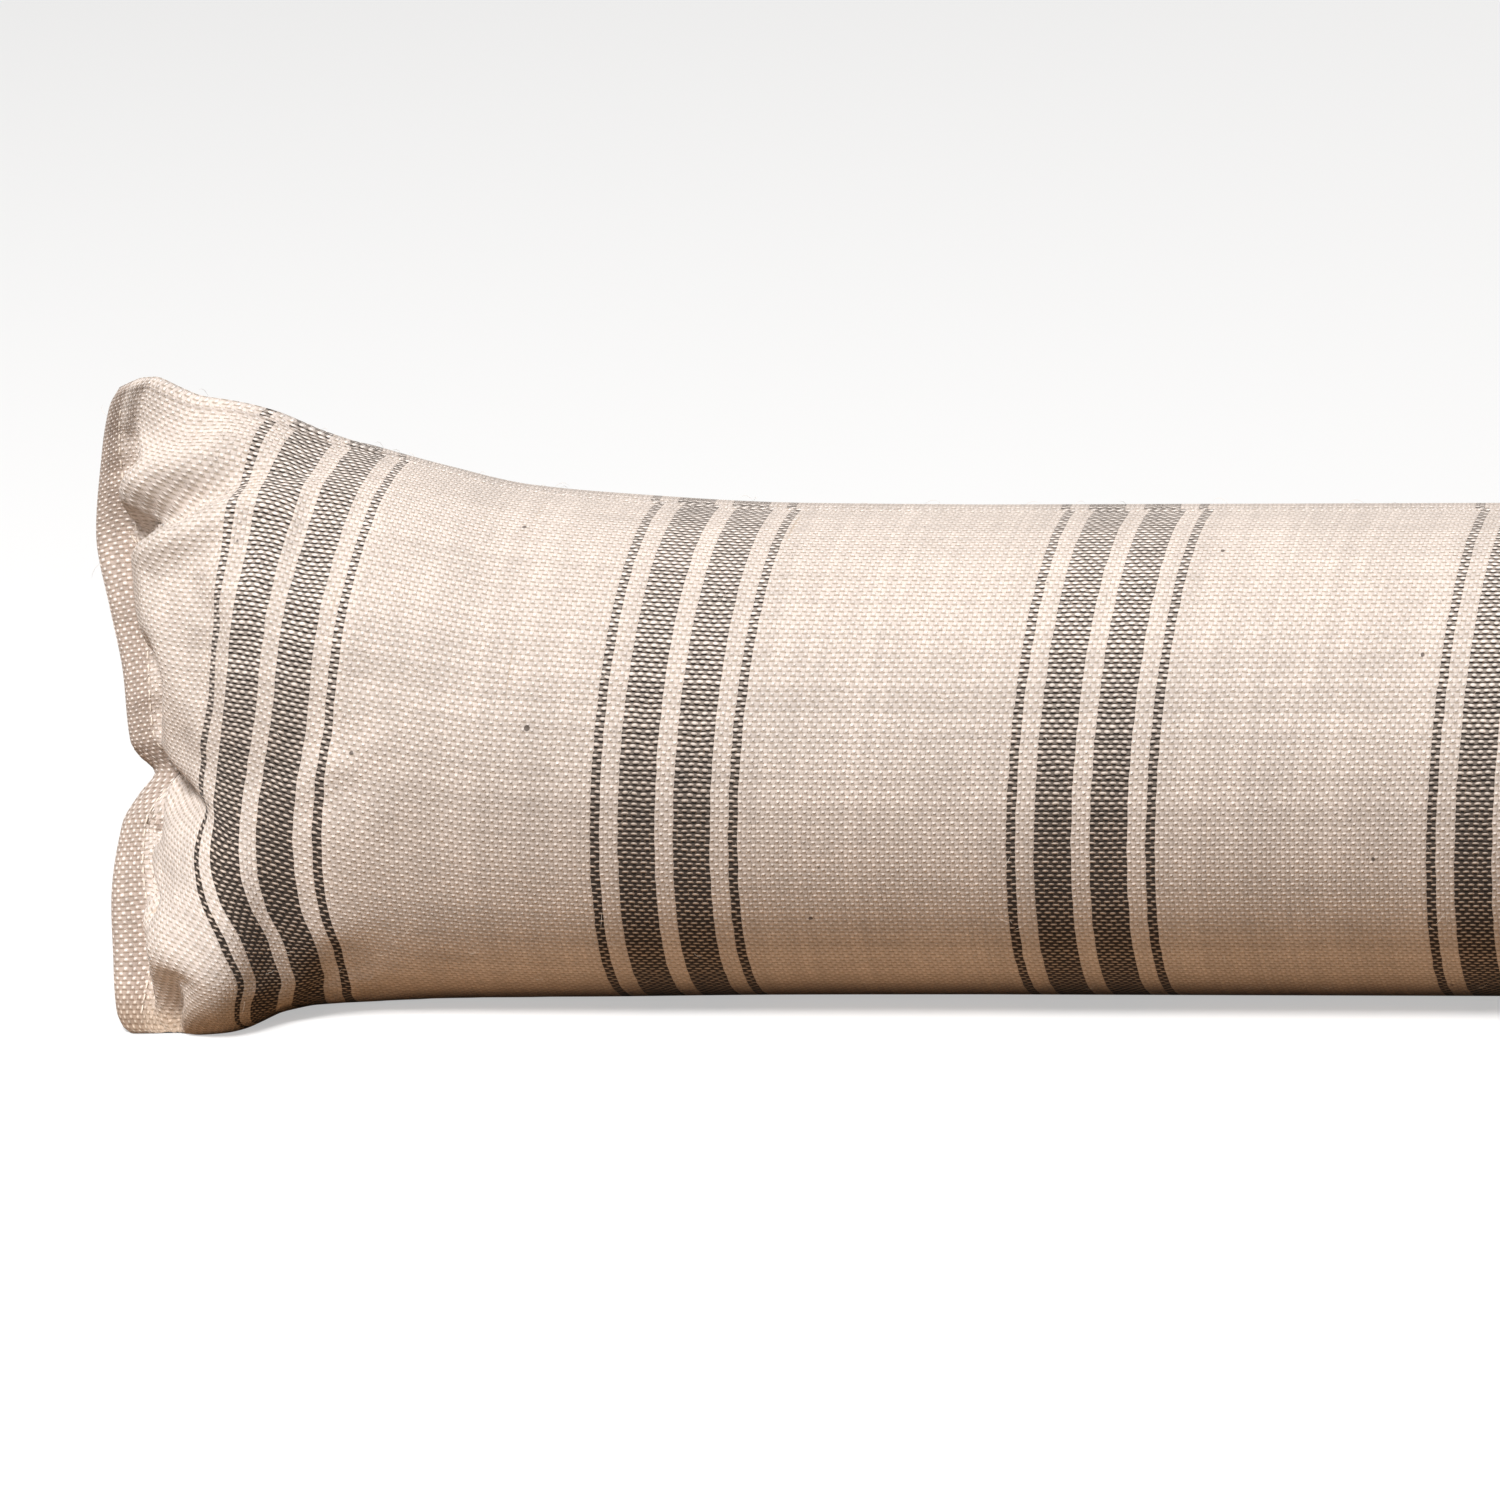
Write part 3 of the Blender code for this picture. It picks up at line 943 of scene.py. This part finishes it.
# Round charcoal threads get a painted highlight on their crowns, a lit grey brown high on the tube
dark_round = c.mix(weave["Round crown highlight"], CHARCOAL, c.mix(painted_top_light, CHARCOAL_CROWN_HIGHLIGHT, CHARCOAL_TOP_LIGHT))
round_colour = c.mix(dark, plain_round, dark_round)
# Painted shadow for the slots under the floats
slot_shadow_colour = c.mix(dark, LINEN_SLOT_SHADOW, CHARCOAL_SLOT_SHADOW)
# Floats go from linen at the rim to cotton at the crown; the paler crown is a painted highlight
float_colour = c.mix(weave["Crown highlight"], LINEN, COTTON)
# Painted shade on the floats across the charcoal, low on the tube
painted_under_shade = c.times(dark, c.less(1.0, painted_top_light))
float_colour = c.mix(painted_under_shade, float_colour, c.by(float_colour, SHADED_FLOAT_TINT))
body = c.mix(weave["Slot shadow"], round_colour, slot_shadow_colour)
from_left = c.parts(flat_place)["X"]
from_hem = c.math("MINIMUM", from_left, c.less(FLAT_LENGTH * MM, from_left))
# Between the floats, the cloth within 9 to 13 mm of a hem edge is tinted darker
body = c.mix(c.ramp(from_hem, *FLANGE_TINT_TO, 1.0, 0.0), body, c.by(body, FLANGE_TINT))
body = c.mix(weave["Float"], body, float_colour)
body = c.mix(weave["Pinhole"], body, PINHOLE_SHADE)
body = c.mix(c.times(fleck, 0.8), body, FLECK)
body = c.mix(c.times(panel_seam, 0.3), body, SEAM_SHADE)
# Painted shade close to the floor, fading out by 15 mm up
body = c.mix(c.ramp(height_above, *FLOOR_SHADE_OVER, 1.0, 0.0), body, c.by(body, FLOOR_SHADE))
per_thread = c.times(
    c.add(0.95, c.times(weave["Long thread"], 0.10)),
    c.add(0.95, c.times(weave["Round thread"], 0.10)),
    c.add(0.94, c.times(weave["Each float"], 0.12)),
    c.ramp(weave["Streaks"], 0.25, 0.75, 0.90, 1.10),
    tone,
)
shade = c.node("ShaderNodeVectorMath", {0: body, "Scale": per_thread}, operation="SCALE").outputs[0]
c.put(shader.inputs["Base Color"], shade)
shader.inputs["Roughness"].default_value = 0.92
shader.inputs["Specular IOR Level"].default_value = 0.2
shader.inputs["Sheen Weight"].default_value = 0.12
shader.inputs["Sheen Roughness"].default_value = 0.5
relief = {
    "Height": weave["Height"],
    "Strength": c.less(0.75, c.times(dark, 0.25)),  # charcoal yarn is softer
    "Distance": 0.36 * MM,
}
c.put(shader.inputs["Normal"], c.node("ShaderNodeBump", relief).outputs[0])
bolster.data.materials.append(cloth)
print("striped_cloth:", len(cloth.node_tree.nodes), "nodes")

# %% [markdown]
# ## Stitches and loose fibres
#
# The flange is held by a row of lock stitches in cream thread. The thread is pulled so
# tight that it sinks into the groove, and only the middle of each stitch shows. Both faces
# of both ends get them, as one joined mesh.
#
# Short fibres stand out of any cloth with linen in it. They are hardly seen one by one, but
# they soften the outline. They are thin bent tubes with three sides, also one mesh.

# %% Tubes for thread and fibre
def unit(vector):
    """The same direction with length 1."""
    return vector / max(np.linalg.norm(vector), 1e-9)


def tubes(name, lines, radius, sides):
    """One mesh of closed tubes, thin at both ends; a line is its points and an upward direction."""
    vertices, faces = [], []
    for points, upward in lines:
        start = len(vertices)
        count = len(points)
        direction = points[-1] - points[0]
        across = unit(np.cross(direction, upward))
        lift = unit(np.cross(across, direction))
        for i, point in enumerate(points):
            taper = radius * math.sqrt(max(1 - (2 * i / (count - 1) - 1) ** 2, 0.04))
            for k in range(sides):
                angle = 2 * math.pi * k / sides
                outward = math.cos(angle) * across + math.sin(angle) * lift
                vertices.append((point + taper * outward) * MM)
        for i in range(count - 1):
            for k in range(sides):
                a, b = start + i * sides + k, start + i * sides + (k + 1) % sides
                faces.append((a, b, b + sides, a + sides))
        faces.append(tuple(range(start, start + sides))[::-1])
        faces.append(tuple(range(start + (count - 1) * sides, start + count * sides)))
    mesh = bpy.data.meshes.new(name)
    mesh.from_pydata([tuple(v) for v in vertices], [], faces)
    mesh.shade_smooth()
    made = bpy.data.objects.new(name, mesh)
    bpy.context.scene.collection.objects.link(made)
    return made


def plain_thread(name, colour):
    """A dull material in one colour."""
    material = bpy.data.materials.new(name)
    material.use_nodes = True
    shader = material.node_tree.nodes["Principled BSDF"]
    shader.inputs["Base Color"].default_value = (*colour, 1.0)
    shader.inputs["Roughness"].default_value = 0.85
    shader.inputs["Specular IOR Level"].default_value = 0.2
    return material


# %% The stitches
STITCH, STITCH_GAP = 2.9, 0.7
STITCHED = 0.03, 0.97  # the shares of the hem between which the line of stitching runs
STITCH_LIFT = -0.25, 0.02, 0.12, 0.02, -0.25  # out of the cloth, from one end of a stitch to the other
STITCH_RADIUS = 0.26
SEAM_ROW = int(np.argmin(abs(rows - HEM_WIDTH)))
final_normal = normals_of(grid)
lines = []
for row in (SEAM_ROW, len(rows) - 1 - SEAM_ROW):
    for side in (-1, 1):
        here = np.flatnonzero(side_of == side)
        here = here[(share_of[here] > STITCHED[0]) & (share_of[here] < STITCHED[1])]
        line, upward = grid[row, here], final_normal[row, here]
        length = np.concatenate([[0], np.cumsum(np.linalg.norm(np.diff(line, axis=0), axis=1))])
        for start in np.arange(2, length[-1] - STITCH, STITCH + STITCH_GAP):
            at = start + np.linspace(0, STITCH, len(STITCH_LIFT))
            points = np.stack([np.interp(at, length, line[:, axis]) for axis in range(3)], -1)
            out = np.array([np.interp(at[2], length, upward[:, axis]) for axis in range(3)])
            lines.append((points + np.array(STITCH_LIFT)[:, None] * out, out))
stitches = tubes("hem_stitches", lines, STITCH_RADIUS, 6)
stitches.data.materials.append(plain_thread("sewing_thread", (0.74, 0.65, 0.56)))
print("stitches:", len(lines))

# %% The fibres
FIBRES = 1400
FIBRE_RADIUS = 0.045
FIBRE_POINTS = 5
LEAST_HEIGHT = 6.0  # fibres nearer the floor are pressed flat
random.seed(5)
lines = []
for number in range(FIBRES):
    row, column = random.randrange(1, len(rows) - 1), random.randrange(ROUND_STEPS)
    foot, out = grid[row, column], final_normal[row, column]
    if foot[2] < LEAST_HEIGHT:
        continue
    aside = np.array([random.uniform(-1, 1) for axis in range(3)])
    long, stand = random.uniform(1.5, 5.0), random.uniform(0.10, 0.45)
    lean = unit(aside - out * aside.dot(out))
    bend = np.cross(out, lean) * random.uniform(-0.25, 0.25)
    points = []
    for t in np.linspace(0, 1, FIBRE_POINTS):
        arch = stand * math.sin(2.6 * t)
        points.append(foot - 0.05 * out + long * (lean * t + bend * t * t + out * arch))
    lines.append((np.array(points), out))
fibres = tubes("loose_fibres", lines, FIBRE_RADIUS, 3)
fibres.data.materials.append(plain_thread("fibre", (0.80, 0.71, 0.62)))
print("fibres:", len(lines))

# %% [markdown]
# ## Floor, light and camera
#
# A plain pale floor, a broad soft light high in front, a weak one low in front, a weak one
# behind that brightens the top, and a dim even sky. The floor is shown pale, but it sends
# only a little warm light back to the underside of the tube, as a wooden one would.

# %% The floor
FLOOR_SIZE = 30.0
FLOOR_GAP = 0.2 * MM  # so that the tube and the floor don't share a surface
BOUNCE_REACH = 0.05, 0.30  # metres from the tube's middle line
WARM_BOUNCE, FAR_BOUNCE = (0.36, 0.23, 0.13), (0.02, 0.02, 0.02)
floor_mesh = bpy.data.meshes.new("studio_floor")
corners = [(x * FLOOR_SIZE / 2, y * FLOOR_SIZE / 2, 0) for x, y in ((-1, -1), (1, -1), (1, 1), (-1, 1))]
floor_mesh.from_pydata(corners, [], [(0, 1, 2, 3)])
floor = bpy.data.objects.new("studio_floor", floor_mesh)
bpy.context.scene.collection.objects.link(floor)
floor.location.z = -FLOOR_GAP
paint = bpy.data.materials.new("pale_floor")
paint.use_nodes = True
f = Tree(paint.node_tree)
seen = paint.node_tree.nodes["Principled BSDF"]
seen.inputs["Base Color"].default_value = (0.46, 0.46, 0.46, 1)
seen.inputs["Roughness"].default_value = 0.9
seen.inputs["Specular IOR Level"].default_value = 0.0
seen.inputs["Emission Color"].default_value = (1, 0.995, 0.99, 1)
seen.inputs["Emission Strength"].default_value = 0.46
spot = f.parts(f.node("ShaderNodeNewGeometry").outputs["Position"])
near_tube = f.ramp(f.math("ABSOLUTE", spot["Y"]), *BOUNCE_REACH, 1.0, 0.0)
bounce = f.node("ShaderNodeBsdfDiffuse", {"Color": f.mix(near_tube, FAR_BOUNCE, WARM_BOUNCE)})
ray = f.node("ShaderNodeLightPath").outputs["Is Camera Ray"]
both = f.node("ShaderNodeMixShader", {0: ray, 1: bounce.outputs[0], 2: seen.outputs[0]})
f.put(paint.node_tree.nodes["Material Output"].inputs["Surface"], both.outputs[0])
floor_mesh.materials.append(paint)

# %% The lights
def area_light(name, place, aim, size, watts, colour):
    """A soft round lamp at place that looks at aim."""
    lamp = bpy.data.lights.new(name, "AREA")
    lamp.shape = "DISK"
    lamp.size = size
    lamp.energy = watts
    lamp.color = colour
    holder = bpy.data.objects.new(name, lamp)
    holder.location = place
    holder.rotation_euler = (Vector(place) - Vector(aim)).to_track_quat("Z", "Y").to_euler()
    bpy.context.scene.collection.objects.link(holder)


CENTRE = Vector((0, 0, 0.06))
DAYLIGHT, WARM_DAYLIGHT = (1.0, 0.995, 0.99), (1.0, 0.99, 0.98)
area_light("key_light", (-1.3, -2.3, 3.5), CENTRE, 1.4, 268, DAYLIGHT)
area_light("front_light", (-1.6, -3.3, 1.2), CENTRE, 1.2, 25, WARM_DAYLIGHT)
area_light("back_light", (0.8, 2.6, 2.6), CENTRE, 2.0, 30, WARM_DAYLIGHT)
sky = bpy.data.worlds.new("studio_sky")
sky.use_nodes = True
sky.node_tree.nodes["Background"].inputs["Color"].default_value = (1, 0.99, 0.98, 1)
sky.node_tree.nodes["Background"].inputs["Strength"].default_value = 0.04
bpy.context.scene.world = sky

# %% The camera
VIEW_YAW, VIEW_LIFT, VIEW_ROLL = math.radians(9.3), math.radians(12.0), math.radians(1.95)
VIEW_DISTANCE = 3.2
PIXEL = 0.2646 * MM  # of the cloth, in a picture 1500 pixels wide
PICTURE = 1500
AIM_FROM_END, AIM_HEIGHT = 176 * MM, 63.5 * MM
left_end = cad_box[0][0]
aim = Vector((left_end + AIM_FROM_END, 0, AIM_HEIGHT))
back = Vector((
    math.sin(VIEW_YAW) * math.cos(VIEW_LIFT),
    -math.cos(VIEW_YAW) * math.cos(VIEW_LIFT),
    math.sin(VIEW_LIFT),
))
lens = bpy.data.cameras.new("camera")
lens.sensor_width = 36
lens.angle = 2 * math.atan(PIXEL * PICTURE / 2 / VIEW_DISTANCE)
camera = bpy.data.objects.new("camera", lens)
bpy.context.scene.collection.objects.link(camera)
turn = back.to_track_quat("Z", "Y").to_matrix().to_4x4()
roll = Matrix.Rotation(-VIEW_ROLL, 4, "Z")
camera.matrix_world = Matrix.Translation(aim + back * VIEW_DISTANCE) @ turn @ roll
bpy.context.scene.camera = camera
bpy.context.scene.view_settings.view_transform = "Standard"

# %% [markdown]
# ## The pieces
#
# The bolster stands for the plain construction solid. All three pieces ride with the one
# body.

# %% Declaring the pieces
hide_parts("bolster")
for piece in (bolster, stitches, fibres):
    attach(piece, "root")
